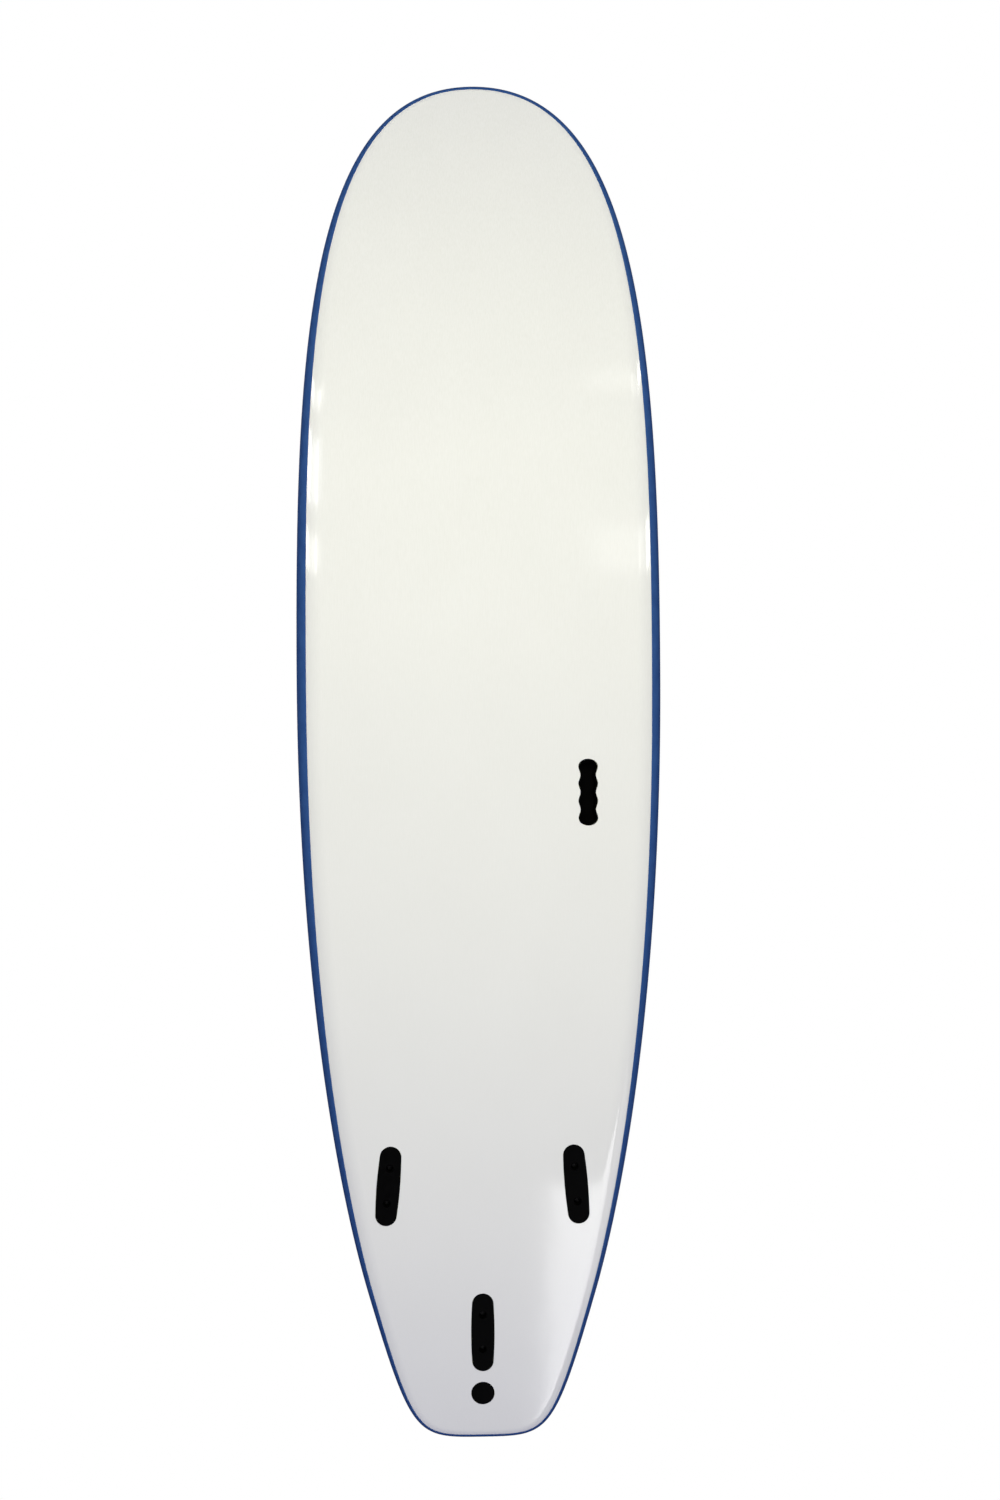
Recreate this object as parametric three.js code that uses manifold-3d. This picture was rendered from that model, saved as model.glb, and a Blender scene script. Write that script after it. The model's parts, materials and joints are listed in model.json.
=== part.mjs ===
// A 7 ft soft-top surfboard, built up as the real one is: a polystyrene blank with two plywood stringers,
// a foam deck and foam rails, a hard plastic bottom sheet, three fin plates, a carry handle and a leash plug.
// Millimetres. The nose points to +X, the rider's left is +Y, the deck faces +Z, and the flat middle of the
// bottom lies at z = 0, with the origin half way along the board.
import * as THREE from "three";
import { mergeVertices } from "three/addons/utils/BufferGeometryUtils.js";
import Module from "manifold-3d";

const wasm = await Module();
wasm.setup();

// ---- Board ----
const LENGTH = 2134;
const HALF_LENGTH = LENGTH / 2;
const HALF_WIDTH = 283;
const WIDE_POINT_X = 130; // where the board is widest
const NOSE_ROUND = 265; // how far the nose curve runs straight across at the tip
const HIP = new THREE.Vector2(-838, 177); // where the side curve hands over to the tail curve
const HIP_ANGLE = THREE.MathUtils.degToRad(16); // how much the outline has turned in at the hip
const TAIL_ROUND = 104; // half the width of the nearly straight end of the tail

const THICKNESS = 80;
const NOSE_THICKNESS = 24;
const TAIL_THICKNESS = 28;
const NOSE_ROCKER = 118;
const TAIL_ROCKER = 58;
const FLAT_FROM_X = -250; // the bottom is flat between these two
const FLAT_TO_X = 150;
const ROCKER_POWER = 2.2;
const DECK_CROWN = 0.14; // share of the thickness that the deck drops from the middle to the edge

// The edge of the board is two quarter ellipses that meet at its widest line. At full thickness:
const EDGE_HEIGHT = 30; // the widest line above the bottom
const TUCK = 40; // how far in the bottom becomes flat
const SHOULDER = 45; // how far in the deck takes over from the rail
// Where the deck foam meets the rail foam, on the upper ellipse:
const SEAM_ANGLE = THREE.MathUtils.degToRad(75);

// ---- Layers, as depths below the outer surface ----
const GAP = 0.3;
const SLICK = 1;
const UNDERLAY_TOP = 5;
const FOAM = 5; // rail and deck foam
const BLANK_DEPTH = FOAM + GAP;
const STRINGER_Y = 70;
const STRINGER_THICKNESS = 5.4;

// ---- Fittings ----
const FIN_PLATE = { length: 124, width: 36, endRadius: 16.5, flange: 3, proud: 0.5 };
const FIN_BLOCK = { length: 84, width: 26, depth: 18 }; // the thick part of a fin plate, inside the blank
const SOCKET = { radius: 5.75, depth: 12, spacing: 55 }; // the two sockets that a fin's posts fit
const FIN_PLACES = {
  left: { x: -665, y: 145.5, toe: -4.8 },
  right: { x: -665, y: -145.5, toe: 4.8 },
  centre: { x: -897, y: 0, toe: 0 },
};
const SCREW = { radius: 3, headRadius: 5.5, headHeight: 3, hexRadius: 2.2, hexDepth: 1.8, tip: 11.4 };
const SCREW_HOLE = 3.5;
const SLEEVE = { inner: 3.5, outer: 6.5, sides: 12 }; // a tube that lines each screw's hole through the blank
const WASHER = { radius: 13, height: 6, sunk: 5.2, seat: 2.6, well: 6.3 };

const HANDLE = { x: -58, y: 167, length: 103, half: 13.4, wave: 1.55, pitch: 26.7, capHalf: 14.95 };
const HANDLE_CUP = { flange: 2.5, lip: 2.3, wall: 1.5, depth: 30, recess: 0.2 };

const LEASH_X = -994;
const LEASH_CUP = {
  flangeRadius: 20,
  flange: 2,
  radius: 16,
  wellRadius: 13.5,
  well: 14,
  floor: 4.5,
  proud: 0.5,
};
const LEASH_BAR = { radius: 2.5, length: 31, depth: 5 };
const LEASH_SCREW = { radius: 3, headRadius: 5.8, head: 3, length: 17 };
const LEASH_CAP = { radius: 18, flange: 3, proud: 0.6, spigotRadius: 7, holeStart: 5 };

const FIT_GAP = 0.3; // the clearance round every fitting let into the board

// ---- Materials ----
function material(color, roughness, metalness = 0) {
  return new THREE.MeshStandardMaterial({ color, roughness, metalness });
}
const SLICK_WHITE = material(0xeeeee8, 0.32);
const UNDERLAY_WHITE = material(0xe4e4df, 0.9);
const FOAM_BLUE = material(0x2f4f94, 0.75);
const DECK_BLUE = material(0x3a63b0, 0.85);
const BLANK_WHITE = material(0xf4f4f0, 0.95);
const PLYWOOD = material(0xc9a26b, 0.8);
const NYLON_BLACK = material(0x141415, 0.5);
const SLEEVE_GREY = material(0x8c8f92, 0.6);
const STEEL = material(0xb9bcc0, 0.3, 1);

// ---- Shape of the board ----
function rocker(x) {
  const nose = Math.max(0, (x - FLAT_TO_X) / (HALF_LENGTH - FLAT_TO_X));
  const tail = Math.max(0, (FLAT_FROM_X - x) / (FLAT_FROM_X + HALF_LENGTH));
  return NOSE_ROCKER * nose ** ROCKER_POWER + TAIL_ROCKER * tail ** ROCKER_POWER;
}

function rockerSlope(x) {
  return rocker(x + 0.5) - rocker(x - 0.5);
}

function thickness(x) {
  const nose = Math.max(0, x / HALF_LENGTH);
  const tail = Math.max(0, -x / HALF_LENGTH);
  return THICKNESS - (THICKNESS - NOSE_THICKNESS) * nose ** 2.6 - (THICKNESS - TAIL_THICKNESS) * tail ** 2.8;
}

// How far in from the outline the hard bottom stops and the blue foam begins.
function slickInset(x) {
  const nose = Math.max(0, (x - 90) / (HALF_LENGTH - 90));
  const tail = Math.max(0, (90 - x) / (HALF_LENGTH + 90));
  return 15 - 8.5 * nose ** 1.9 - 9.8 * tail ** 1.35;
}

// The outline of the left half, from the tip of the nose to the middle of the tail.
function outlineCurves() {
  const point = (x, y) => new THREE.Vector2(x, y);
  const turn = point(-Math.cos(HIP_ANGLE), -Math.sin(HIP_ANGLE));
  const beforeHip = HIP.clone().addScaledVector(turn, -178);
  const afterHip = HIP.clone().addScaledVector(turn, 239);
  const nose = new THREE.CubicBezierCurve(
    point(HALF_LENGTH, 0),
    point(HALF_LENGTH, NOSE_ROUND),
    point(WIDE_POINT_X + 499, HALF_WIDTH),
    point(WIDE_POINT_X, HALF_WIDTH),
  );
  const side = new THREE.CubicBezierCurve(
    point(WIDE_POINT_X, HALF_WIDTH),
    point(WIDE_POINT_X - 464, HALF_WIDTH),
    beforeHip,
    HIP,
  );
  const beforeEnd = point(-HALF_LENGTH, TAIL_ROUND);
  const tail = new THREE.CubicBezierCurve(HIP, afterHip, beforeEnd, point(-HALF_LENGTH, 0));
  return [
    { curve: nose, steps: 10, bunching: 1.25 },
    { curve: side, steps: 6, bunching: 1 },
    { curve: tail, steps: 8, bunching: 1 },
  ];
}

// One place on the outline, where `across` is the outline's direction, and the sizes of the section that runs
// from it to the middle of the board: first straight in across the rail, then on to the centreline.
function station(x, y, across) {
  const onCentreline = y < 1e-6;
  const inX = onCentreline ? -Math.sign(x) : -across.y;
  const inY = onCentreline ? 0 : across.x;
  const scale = thickness(x) / THICKNESS;
  const rail = 48 * scale;
  const shoulder = { x: x + inX * rail, y: y + inY * rail };
  const spineX = shoulder.x * (0.9 - (0.35 * shoulder.y) / HALF_LENGTH);
  const inner = Math.hypot(shoulder.x - spineX, shoulder.y);
  return {
    x,
    y,
    inX,
    inY,
    rail,
    shoulder,
    spineX,
    inner,
    edgeHeight: EDGE_HEIGHT * scale,
    tuck: TUCK * scale,
    crown: SHOULDER * scale,
    inset: slickInset(x),
  };
}

function makeStations() {
  const stations = [];
  for (const { curve, steps, bunching } of outlineCurves()) {
    for (let i = stations.length ? 1 : 0; i <= steps; i++) {
      const t = (i / steps) ** bunching;
      const at = curve.getPoint(t);
      stations.push(station(at.x, at.y, curve.getTangent(t)));
    }
  }
  return stations;
}

// The place on a station's path that lies `distance` in from the outline.
function onPath(s, distance) {
  if (distance <= s.rail) return { x: s.x + s.inX * distance, y: s.y + s.inY * distance };
  const share = (distance - s.rail) / s.inner;
  return {
    x: s.shoulder.x + (s.spineX - s.shoulder.x) * share,
    y: s.shoulder.y * (1 - share),
  };
}

// The height of the deck over the bottom, before the rail rounds it off.
function deckHeight(s, distance) {
  const outward = 1 - distance / (s.rail + s.inner);
  return thickness(onPath(s, distance).x) * (1 - DECK_CROWN * outward ** 2);
}

// A point on the board's surface, or `depth` below it. A stop is either an angle on the rail's ellipse
// (0 at the widest line) or a share of the way from the rail to the centreline.
function surfacePoint(s, stop, depth) {
  const deck = stop.face === "deck";
  let distance;
  let height;
  if (stop.share === undefined) {
    const reach = deck ? s.crown : s.tuck;
    const across = Math.cos(stop.angle);
    const up = Math.sin(stop.angle);
    distance = reach * (1 - across);
    const rise = deck ? deckHeight(s, distance) - s.edgeHeight : -s.edgeHeight;
    height = s.edgeHeight + rise * up;
    const inward = new THREE.Vector2(across / reach, -up / rise).normalize();
    distance += inward.x * depth;
    height += inward.y * depth;
  } else {
    distance = s.rail + s.inner * stop.share;
    height = deck ? deckHeight(s, distance) - depth : depth;
  }
  const at = onPath(s, distance);
  const point = new THREE.Vector3(at.x, at.y, height + rocker(at.x));
  point.distanceIn = distance;
  return point;
}

function angleAt(reach, distance) {
  return Math.acos(1 - distance / reach);
}

// Stops spread evenly between two angles, on one face of the rail.
function arcStops(face, from, to, steps) {
  return Array.from({ length: steps + 1 }, (_, i) => ({ face, angle: from + ((to - from) * i) / steps }));
}

function innerStops(face, steps) {
  return Array.from({ length: steps }, (_, i) => ({ face, share: (i + 1) / steps }));
}

const slickEdge = (s, side) => angleAt(s.tuck, s.inset + (side * GAP) / 2);
const seamEdge = (s, side) => angleAt(s.crown, s.crown * (1 - Math.cos(SEAM_ANGLE)) + (side * GAP) / 2);

const bottomStops = (s) => [
  ...arcStops("bottom", slickEdge(s, 1), Math.PI / 2, 2),
  ...innerStops("bottom", 1),
];
const deckStops = (s) => [...arcStops("deck", seamEdge(s, 1), Math.PI / 2, 1), ...innerStops("deck", 3)];
const railStops = (s) => [
  ...arcStops("bottom", slickEdge(s, -1), 0, 3).slice(0, -1),
  ...arcStops("deck", 0, seamEdge(s, -1), 4),
];

// ---- Closed solids from rings of points ----
// Two triangles between neighbouring rings. The diagonal always rises from the inner point of the first ring
// to the outer point of the second, so that layers lying on each other are folded alike and never cross.
function quad(a, b, c, d) {
  return a.distanceIn < b.distanceIn
    ? [
        [a, c, b],
        [c, d, b],
      ]
    : [
        [a, c, d],
        [a, d, b],
      ];
}

function bands(rings, closed) {
  const faces = [];
  for (let i = 0; i + 1 < rings.length; i++) {
    const [ring, following] = [rings[i], rings[i + 1]];
    for (let k = 0; k < (closed ? ring.length : ring.length - 1); k++) {
      const next = (k + 1) % ring.length;
      faces.push(...quad(ring[k], ring[next], following[k], following[next]));
    }
  }
  return faces;
}

// Closes the end of a strip whose ring runs out along one face and back along the other.
function endCap(ring) {
  const faces = [];
  for (let k = 0; k + 1 < ring.length / 2; k++) {
    const back = ring.length - 1 - k;
    faces.push([ring[k], ring[k + 1], ring[back - 1]]);
    faces.push([ring[k], ring[back - 1], ring[back]]);
  }
  return faces;
}

const flipped = (faces) => faces.map(([a, b, c]) => [a, c, b]);
const mirrored = (faces) => flipped(faces).map((face) => face.map((p) => new THREE.Vector3(p.x, -p.y, p.z)));

function enclosedVolume(faces) {
  return faces.reduce((sum, [a, b, c]) => sum + a.dot(b.clone().cross(c)) / 6, 0);
}

function geometryOf(faces) {
  const outward = enclosedVolume(faces) > 0 ? faces : flipped(faces);
  const geometry = new THREE.BufferGeometry().setFromPoints(outward.flat());
  return mergeVertices(geometry, 1e-4);
}

// A layer that covers the board from edge to edge, between two depths.
function sheet(stations, stopsOf, outerDepth, innerDepth) {
  const rings = stations.map((s) => [
    ...stopsOf(s).reverse().map((stop) => surfacePoint(s, stop, outerDepth)),
    ...stopsOf(s).map((stop) => surfacePoint(s, stop, innerDepth)),
  ]);
  const half = bands(rings, false);
  return geometryOf([...half, ...mirrored(half)]);
}

// One of the two strips that wrap the edge, from the nose tip to the middle of the tail.
function railStrip(stations) {
  const rings = stations.map((s) => {
    const points = [
      ...railStops(s).map((stop) => surfacePoint(s, stop, 0)),
      ...railStops(s).reverse().map((stop) => surfacePoint(s, stop, FOAM)),
    ];
    for (const p of points) p.y = Math.max(p.y, GAP / 2);
    return points;
  });
  return [...bands(rings, true), ...endCap(rings[0]), ...flipped(endCap(rings.at(-1)))];
}

// The whole blank, before the stringers divide it.
function blank(stations) {
  const rings = stations.map((s) => {
    const stops = [...bottomStops(s).reverse(), ...railStops(s).slice(1, -1), ...deckStops(s)];
    return stops.map((stop) => surfacePoint(s, stop, BLANK_DEPTH));
  });
  const half = bands(rings, false);
  return geometryOf([...half, ...mirrored(half)]);
}

// ---- Cutting and joining ----
function toSolid(geometry) {
  const plain = geometry.clone();
  plain.deleteAttribute("normal");
  plain.deleteAttribute("uv");
  const merged = mergeVertices(plain, 1e-4);
  const vertProperties = merged.attributes.position.array;
  const triVerts = new Uint32Array(merged.index.array);
  return new wasm.Manifold(new wasm.Mesh({ numProp: 3, vertProperties, triVerts }));
}

function toGeometry(solid) {
  const mesh = solid.getMesh();
  const geometry = new THREE.BufferGeometry();
  geometry.setAttribute("position", new THREE.BufferAttribute(mesh.vertProperties, 3));
  geometry.setIndex(new THREE.BufferAttribute(mesh.triVerts, 1));
  return geometry;
}

function cut(geometry, cutters) {
  const solid = cutters.reduce((rest, cutter) => rest.subtract(toSolid(cutter)), toSolid(geometry));
  return toGeometry(solid);
}

function join(...geometries) {
  return toGeometry(geometries.map(toSolid).reduce((all, next) => all.add(next)));
}

function slab(x, y0, y1) {
  const box = new THREE.BoxGeometry(x, y1 - y0, 4 * THICKNESS);
  return box.translate(0, (y0 + y1) / 2, THICKNESS);
}

function common(geometry, other) {
  return toGeometry(toSolid(geometry).intersect(toSolid(other)));
}

// ---- Round pieces ----
// A turned piece: radius and height pairs of its section, turned about +Z.
function turned(section, segments) {
  const points = [...section, section[0]].map(([r, z]) => new THREE.Vector2(r, z));
  return new THREE.LatheGeometry(points, segments).rotateX(Math.PI / 2);
}

function rod(radius, from, to, segments) {
  const cylinder = new THREE.CylinderGeometry(radius, radius, to - from, segments);
  return cylinder.rotateX(Math.PI / 2).translate(0, 0, (from + to) / 2);
}

function extruded(shape, from, to) {
  const settings = { depth: to - from, bevelEnabled: false, curveSegments: 6 };
  return new THREE.ExtrudeGeometry(shape, settings).translate(0, 0, from);
}

// ---- Fin plates ----
// A long plate outline with round ends and slightly bulging sides, grown by `grow` all round.
function plateOutline(grow) {
  const { length, width, endRadius } = FIN_PLATE;
  const end = endRadius + grow;
  const straight = length / 2 - endRadius;
  const bulge = width - endRadius + grow;
  const shape = new THREE.Shape();
  shape.moveTo(-straight, -end);
  shape.quadraticCurveTo(0, -bulge, straight, -end);
  shape.absarc(straight, 0, end, -Math.PI / 2, Math.PI / 2, false);
  shape.quadraticCurveTo(0, bulge, -straight, end);
  shape.absarc(-straight, 0, end, Math.PI / 2, Math.PI * 1.5, false);
  return shape;
}

function finBlock(grow) {
  const { length, width, depth } = FIN_BLOCK;
  const box = new THREE.BoxGeometry(length + 2 * grow, width + 2 * grow, depth + grow);
  return box.translate(0, 0, (depth + grow) / 2);
}

const socketXs = [-SOCKET.spacing / 2, SOCKET.spacing / 2];

function finPlate() {
  const face = extruded(plateOutline(0), -FIN_PLATE.proud, FIN_PLATE.flange);
  const sockets = socketXs.flatMap((x) => [
    rod(SOCKET.radius, -2, SOCKET.depth, 12).translate(x, 0, 0),
    rod(SCREW_HOLE, 0, FIN_BLOCK.depth + 2, 8).translate(x, 0, 0),
  ]);
  return cut(join(face, finBlock(0)), sockets);
}

function finPocket() {
  return join(extruded(plateOutline(FIT_GAP), -6, FIN_PLATE.flange + FIT_GAP), finBlock(FIT_GAP));
}

function screw(length) {
  const { radius, headRadius, headHeight, hexRadius, hexDepth } = SCREW;
  const body = turned(
    [
      [0, -length],
      [radius - 0.6, -length],
      [radius, -length + 0.8],
      [radius, 0],
      [headRadius, 0],
      [headRadius, headHeight - 1],
      [headRadius - 1.4, headHeight],
      [0, headHeight],
    ],
    8,
  );
  return cut(body, [rod(hexRadius, headHeight - hexDepth, headHeight + 1, 6)]);
}

function washer() {
  const { radius, height, seat, well } = WASHER;
  return turned(
    [
      [SCREW_HOLE, 0],
      [radius, 0],
      [radius, height - 2.6],
      [radius - 1.6, height - 0.9],
      [well + 1.2, height],
      [well, height - 0.4],
      [well, seat],
      [SCREW_HOLE, seat],
    ],
    14,
  );
}

// ---- Handle ----
// The wavy finger-grip outline, grown by `grow` all round.
function handleOutline(grow) {
  const { length, half, wave, pitch, capHalf } = HANDLE;
  const straight = 1.5 * pitch;
  const capLength = length / 2 - straight;
  const halfWidth = (s) => half - wave * Math.cos((2 * Math.PI * s) / pitch);
  const edge = [];
  const waveSteps = 18;
  for (let i = 0; i <= waveSteps; i++) {
    const s = straight - (2 * straight * i) / waveSteps;
    edge.push([s, halfWidth(s) + grow]);
  }
  const capSteps = 6;
  for (let i = 1; i < capSteps; i++) {
    const a = (Math.PI * i) / capSteps;
    edge.push([-straight - (capLength + grow) * Math.sin(a), (capHalf + grow) * Math.cos(a)]);
  }
  const whole = [...edge, ...edge.map(([x, y]) => [-x, -y])];
  return new THREE.Shape(whole.map(([x, y]) => new THREE.Vector2(x, y)));
}

function handleCup() {
  const { flange, lip, wall, depth, recess } = HANDLE_CUP;
  const rim = extruded(handleOutline(0), recess, flange);
  const walls = extruded(handleOutline(wall - lip), recess, depth + wall);
  return cut(join(rim, walls), [extruded(handleOutline(-lip), -1, depth)]);
}

function handlePocket() {
  const { flange, lip, wall, depth } = HANDLE_CUP;
  const rim = extruded(handleOutline(FIT_GAP), -5, flange + FIT_GAP);
  return join(rim, extruded(handleOutline(wall - lip + FIT_GAP), -5, depth + wall + FIT_GAP));
}

// ---- Leash plug: heights are measured from the deck at the plug ----
function leashCup() {
  const { flangeRadius, flange, radius, wellRadius, well, floor, proud } = LEASH_CUP;
  const { headRadius, radius: screwRadius, head } = LEASH_SCREW;
  const bottom = -well - floor;
  const body = turned(
    [
      [screwRadius + 0.5, bottom],
      [radius, bottom],
      [radius, proud - flange],
      [flangeRadius, proud - flange],
      [flangeRadius, proud - 1],
      [flangeRadius - 1.2, proud],
      [wellRadius + 0.8, proud],
      [wellRadius, proud - 0.8],
      [wellRadius, -well],
      [headRadius + 0.4, -well],
      [screwRadius + 0.5, -well - head],
    ],
    18,
  );
  const barHole = rod(LEASH_BAR.radius + FIT_GAP, -radius - 1, radius + 1, 8).rotateX(Math.PI / 2);
  return cut(body, [barHole.translate(0, 0, -LEASH_BAR.depth)]);
}

function leashPocket() {
  const { flangeRadius, flange, radius, well, floor, proud } = LEASH_CUP;
  const rim = rod(flangeRadius + FIT_GAP, proud - flange - FIT_GAP, 6, 18);
  return join(rim, rod(radius + FIT_GAP, -well - floor - FIT_GAP, 1, 18));
}

function leashBar() {
  const { radius, length, depth } = LEASH_BAR;
  return rod(radius, -length / 2, length / 2, 8).rotateX(Math.PI / 2).translate(0, 0, -depth);
}

function leashScrew() {
  const { radius, headRadius, head, length } = LEASH_SCREW;
  const top = -LEASH_CUP.well;
  const body = turned(
    [
      [0, top - length],
      [radius, top - length],
      [radius, top - head],
      [headRadius, top - 0.2],
      [0, top - 0.2],
    ],
    10,
  );
  return cut(body, [rod(SCREW.hexRadius, top - 2, top + 1, 6)]);
}

// ---- Assembly ----
const board = new THREE.Group();
board.name = "surfboard";

function piece(name, geometry, finish, parent = board) {
  const mesh = new THREE.Mesh(geometry, finish);
  mesh.name = name;
  parent.add(mesh);
  return mesh;
}

// A group on the bottom at (x, y), with its own +Z square to the bottom and into the board.
function bottomFrame(x, y, toe = 0) {
  const frame = new THREE.Group();
  frame.position.set(x, y, rocker(x));
  frame.rotation.set(0, -Math.atan(rockerSlope(x)), THREE.MathUtils.degToRad(toe));
  board.add(frame);
  frame.updateMatrixWorld(true);
  return frame;
}

const placed = (geometry, frame) => geometry.clone().applyMatrix4(frame.matrixWorld);

// The distance from the frame's origin, along its +Z through (x, y, 0), to the outer surface of the deck.
function deckAbove(frame, x, deck) {
  const far = frame.localToWorld(new THREE.Vector3(x, 0, 3 * THICKNESS));
  const near = frame.localToWorld(new THREE.Vector3(x, 0, 0));
  const direction = near.sub(far).normalize();
  const hit = new THREE.Raycaster(far, direction).intersectObject(deck)[0];
  return 3 * THICKNESS - hit.distance;
}

const stations = makeStations();
const deckSheet = sheet(stations, deckStops, 0, FOAM);
const deckProbe = new THREE.Mesh(deckSheet);
const cutters = { bottom: [], blank: [], deck: [] };

function letInto(cutter, ...layers) {
  for (const layer of layers) cutters[layer].push(cutter);
}

for (const [side, { x, y, toe }] of Object.entries(FIN_PLACES)) {
  const frame = bottomFrame(x, y, toe);
  piece(`fin_plate_${side}`, finPlate(), NYLON_BLACK, frame);
  letInto(placed(finPocket(), frame), "bottom", "blank");
  socketXs.forEach((socketX, i) => {
    const end = i ? "front" : "rear";
    const washerFoot = deckAbove(frame, socketX, deckProbe) - WASHER.sunk;
    const screwSeat = washerFoot + WASHER.seat + 0.1;
    const at = new THREE.Group();
    at.position.set(socketX, 0, 0);
    frame.add(at);
    at.updateMatrixWorld(true);

    const { inner, outer, sides } = SLEEVE;
    const low = FIN_BLOCK.depth + 2 * GAP;
    const high = washerFoot - GAP;
    const tube = turned([[inner, low], [outer, low], [outer, high], [inner, high]], sides);
    piece(`fin_sleeve_${side}_${end}`, tube, SLEEVE_GREY, at);
    piece(`fin_screw_${side}_${end}`, screw(screwSeat - SCREW.tip), NYLON_BLACK, at).position.z = screwSeat;
    piece(`deck_washer_${side}_${end}`, washer(), NYLON_BLACK, at).position.z = washerFoot;

    const sleeveHole = rod(outer + FIT_GAP, low - 2, high + 2, sides);
    const washerWell = rod(WASHER.radius + FIT_GAP, washerFoot - FIT_GAP, washerFoot + 12, 14);
    letInto(placed(sleeveHole, at), "blank", "deck");
    letInto(placed(washerWell, at), "blank", "deck");
  });
}

const handleFrame = bottomFrame(HANDLE.x, HANDLE.y);
piece("handle_cup", handleCup(), NYLON_BLACK, handleFrame);
letInto(placed(handlePocket(), handleFrame), "bottom", "blank");

// The leash plug stands square to the deck, and the cap's face lies along the bottom below it.
const capFrame = bottomFrame(LEASH_X, 0);
const deckAtLeash = (x) => {
  const down = new THREE.Raycaster(new THREE.Vector3(x, 0, 3 * THICKNESS), new THREE.Vector3(0, 0, -1));
  return down.intersectObject(deckProbe)[0].point.z;
};
const leashFrame = new THREE.Group();
leashFrame.position.set(LEASH_X, 0, deckAtLeash(LEASH_X));
const cupReach = LEASH_CUP.flangeRadius;
const deckSlope = (deckAtLeash(LEASH_X + cupReach) - deckAtLeash(LEASH_X - cupReach)) / (2 * cupReach);
leashFrame.rotation.y = -Math.atan(deckSlope);
board.add(leashFrame);
leashFrame.updateMatrixWorld(true);

piece("leash_cup", leashCup(), NYLON_BLACK, leashFrame);
piece("leash_bar", leashBar(), STEEL, leashFrame);
piece("leash_screw", leashScrew(), STEEL, leashFrame);
letInto(placed(leashPocket(), leashFrame), "blank", "deck");

const spigotTop = -LEASH_CUP.well - LEASH_CUP.floor - GAP;
const plugDepth = deckAtLeash(LEASH_X) - rocker(LEASH_X);
const { radius: capRadius, flange: capFlange, proud: capProud, spigotRadius, holeStart } = LEASH_CAP;
const capFace = placed(rod(capRadius, -capProud, capFlange, 20), capFrame);
const spigot = placed(rod(spigotRadius, -plugDepth + capFlange / 2, spigotTop, 12), leashFrame);
const screwHole = placed(rod(LEASH_SCREW.radius + FIT_GAP, -plugDepth + holeStart, 0, 8), leashFrame);
piece("leash_cap", cut(join(capFace, spigot), [screwHole]), NYLON_BLACK);

const capSeat = rod(capRadius + FIT_GAP, -6, capFlange + FIT_GAP, 20);
const spigotHole = rod(spigotRadius + FIT_GAP, -plugDepth + 1, spigotTop + 1, 12);
letInto(placed(capSeat, capFrame), "bottom", "blank");
letInto(placed(spigotHole, leashFrame), "bottom", "blank");

piece("bottom_slick", cut(sheet(stations, bottomStops, 0, SLICK), cutters.bottom), SLICK_WHITE);
const underlay = sheet(stations, bottomStops, SLICK + GAP, UNDERLAY_TOP);
piece("bottom_foam", cut(underlay, cutters.bottom), UNDERLAY_WHITE);
piece("deck_skin", cut(deckSheet, cutters.deck), DECK_BLUE);

const rail = railStrip(stations);
piece("rail_left", geometryOf(rail), FOAM_BLUE);
piece("rail_right", geometryOf(mirrored(rail)), FOAM_BLUE);

const wholeBlank = blank(stations);
const slot = STRINGER_THICKNESS / 2 + GAP;
const far = 2 * HALF_WIDTH;
const coreParts = {
  core_left: [STRINGER_Y + slot, far],
  core_centre: [-STRINGER_Y + slot, STRINGER_Y - slot],
  core_right: [-far, -STRINGER_Y - slot],
};
for (const [name, [from, to]] of Object.entries(coreParts)) {
  piece(name, cut(common(wholeBlank, slab(2 * LENGTH, from, to)), cutters.blank), BLANK_WHITE);
}
for (const [name, y] of [["stringer_left", STRINGER_Y], ["stringer_right", -STRINGER_Y]]) {
  const half = STRINGER_THICKNESS / 2;
  piece(name, common(wholeBlank, slab(2 * LENGTH, y - half, y + half)), PLYWOOD);
}

export default board;
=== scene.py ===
"""A 7 ft soft-top surfboard in a white studio, seen from below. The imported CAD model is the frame.

The visible shells and fittings are built again here as fine meshes on the same formulas as the CAD part, in
its frame: +X to the nose, +Y to the rider's left, +Z out of the deck. Shapes are worked out in millimetres
and turned into metres at the end. What the eye can't reach, such as the foam blank, stays as the CAD made it.
"""
import json
import math
from types import SimpleNamespace

import bmesh
import bpy
import numpy as np
from mathutils import Matrix, Vector
from mathutils.bvhtree import BVHTree


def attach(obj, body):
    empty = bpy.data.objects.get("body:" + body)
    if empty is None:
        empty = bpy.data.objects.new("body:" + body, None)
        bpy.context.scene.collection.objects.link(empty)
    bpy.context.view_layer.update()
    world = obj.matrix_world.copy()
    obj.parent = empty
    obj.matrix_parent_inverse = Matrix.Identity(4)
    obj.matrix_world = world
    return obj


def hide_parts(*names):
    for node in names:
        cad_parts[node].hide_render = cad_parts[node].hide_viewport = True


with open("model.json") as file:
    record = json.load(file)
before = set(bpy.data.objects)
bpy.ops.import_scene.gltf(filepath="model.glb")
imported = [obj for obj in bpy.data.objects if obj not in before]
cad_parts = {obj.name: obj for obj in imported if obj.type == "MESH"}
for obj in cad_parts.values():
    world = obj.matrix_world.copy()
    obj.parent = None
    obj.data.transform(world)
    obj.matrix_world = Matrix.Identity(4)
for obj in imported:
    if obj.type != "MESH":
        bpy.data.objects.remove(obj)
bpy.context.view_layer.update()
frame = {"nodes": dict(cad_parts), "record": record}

MM = 0.001
SCENE = bpy.context.scene

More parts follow.
